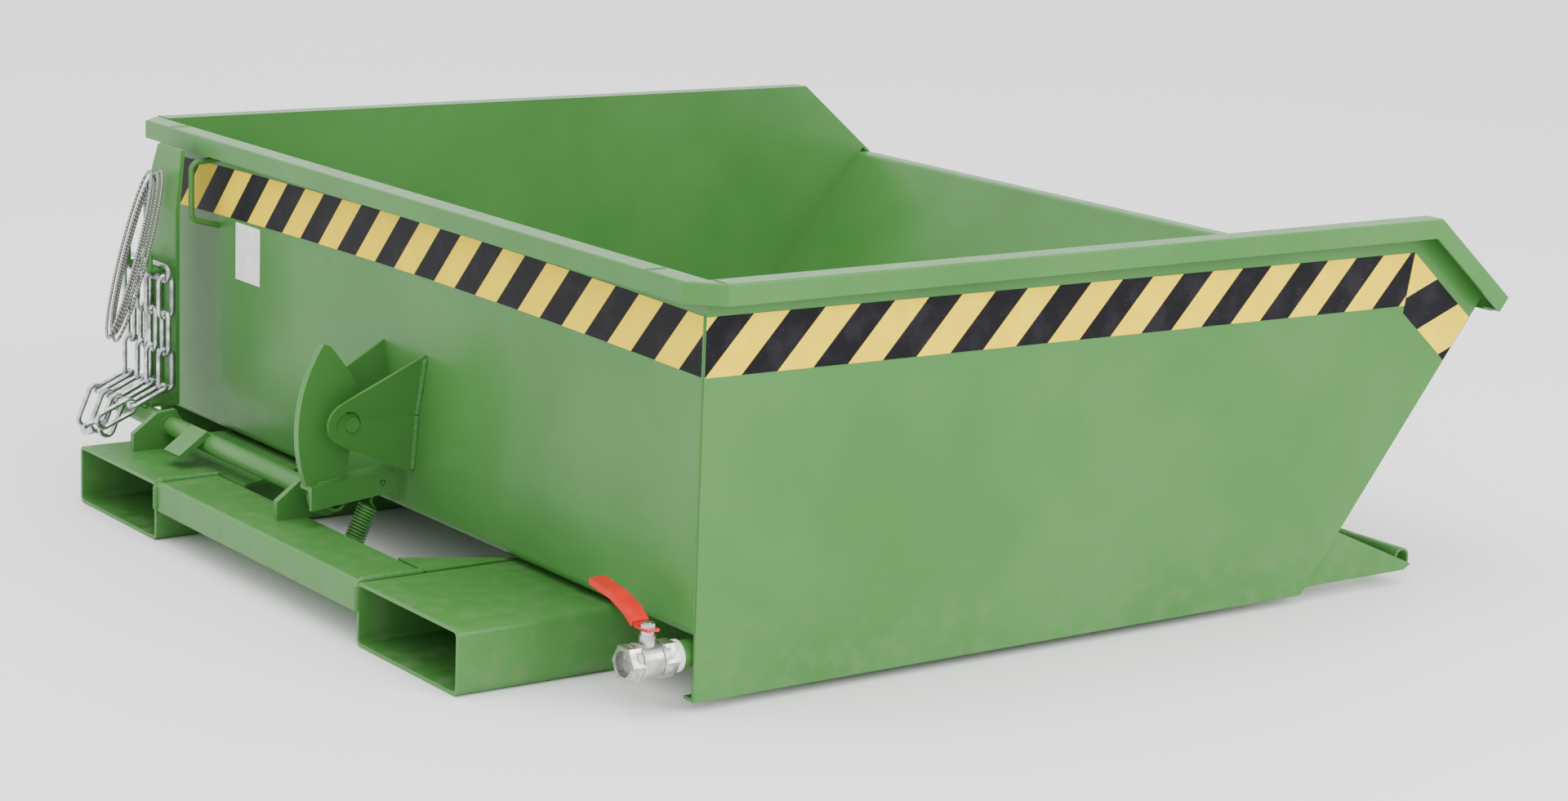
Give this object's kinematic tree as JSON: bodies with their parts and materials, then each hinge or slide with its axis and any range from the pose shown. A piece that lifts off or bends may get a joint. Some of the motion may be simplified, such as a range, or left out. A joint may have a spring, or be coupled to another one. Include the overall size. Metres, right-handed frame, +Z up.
{
  "type": "low tipping skip for fork-lift trucks",
  "caption": "Low sheet-steel tipping skip hinged on a fork-pocket base, with a sprung rear latch, release lever, chain, hazard stripes and a drain valve",
  "frame": {"origin": "on the floor under the middle of the bounding box", "axes": "+X towards the discharge lip, +Y to the left side seen from the rear, +Z up"},
  "size_m": [1.4852, 1.424, 0.498],
  "materials": {
    "green_paint": "gloss paint",
    "hazard_film": "printed film",
    "label_film": "film",
    "bright_zinc": "bright zinc",
    "rope_wire": "galvanised wire",
    "nickel": "nickel plate",
    "seat_plastic": "white",
    "seal_plastic": "white",
    "red_sleeve": "dipped"
  },
  "bodies": {
    "base": {"fork_pocket_right": "green_paint", "fork_pocket_left": "green_paint", "rear_cross_beam": "green_paint", "corner_gussets": "green_paint", "hinge_lugs": "green_paint", "hinge_rods": "green_paint", "bearing_plates": "green_paint", "bearing_bushes": "green_paint", "spring_anchor": "green_paint", "latch_spring": "green_paint"},
    "container": {"body_sheet": "green_paint", "catch_bracket_left": "green_paint", "catch_bracket_right": "green_paint", "catch_pin": "green_paint", "cheek_left": "green_paint", "cheek_right": "green_paint", "drain_pipe": "green_paint", "floor_runners": "green_paint", "gland_nut": "nickel", "hazard_tape_front_left": "hazard_film", "hazard_tape_front_right": "hazard_film", "hazard_tape_left": "hazard_film", "hazard_tape_rear": "hazard_film", "hazard_tape_right": "hazard_film", "hinge_sleeves": "green_paint", "label": "label_film", "nose": "green_paint", "rim_closing_plates": "green_paint", "rim_corner_left": "green_paint", "rim_corner_right": "green_paint", "rim_rear": "green_paint", "rim_side_left": "green_paint", "rim_side_right": "green_paint", "rope_eye": "green_paint", "seal_ring": "seal_plastic", "side_plate_left": "green_paint", "side_plate_right": "green_paint", "valve_body": "nickel", "valve_seats": "seat_plastic"},
    "latch": {"latch_shaft": "green_paint", "latch_hook": "green_paint", "latch_bar": "green_paint", "shaft_collar": "green_paint", "stop_tab": "green_paint", "release_lever": "green_paint", "chain_pegs": "green_paint", "wire_rope": "rope_wire"},
    "valve": {"valve_ball": "nickel", "valve_stem": "nickel", "valve_nut": "nickel", "valve_handle": "nickel", "handle_sleeve": "red_sleeve"},
    "chain": {"chain_links": "bright_zinc", "chain_hook": "bright_zinc"}
  },
  "joints": [
    {"name": "skip_tip", "type": "hinge", "parent": "base", "child": "container", "pos_m": [0.6095, 0, 0.036], "axis": [0, 1, 0], "range_deg": [0, 70]},
    {"name": "latch_turn", "type": "hinge", "parent": "base", "child": "latch", "pos_m": [-0.6385, 0, 0.11], "axis": [0, -1, 0], "range_deg": [0, 18], "stiffness_Nm_per_rad": 20, "springref_deg": -11.46, "deforming": ["latch_spring", "wire_rope"]},
    {"name": "chain_swing", "type": "hinge", "parent": "latch", "child": "chain", "pos_m": [-0.6166, 0.56, 0.3197], "axis": [0, -1, 0], "range_deg": [-18, 0]},
    {"name": "valve_turn", "type": "hinge", "parent": "container", "child": "valve", "pos_m": [-0.587, -0.66, 0.063], "axis": [0, 0, 1], "range_deg": [0, 90]}
  ],
  "couplings": [
    {"joint": "chain_swing", "follows": "latch_turn", "ratio": -1}
  ]
}
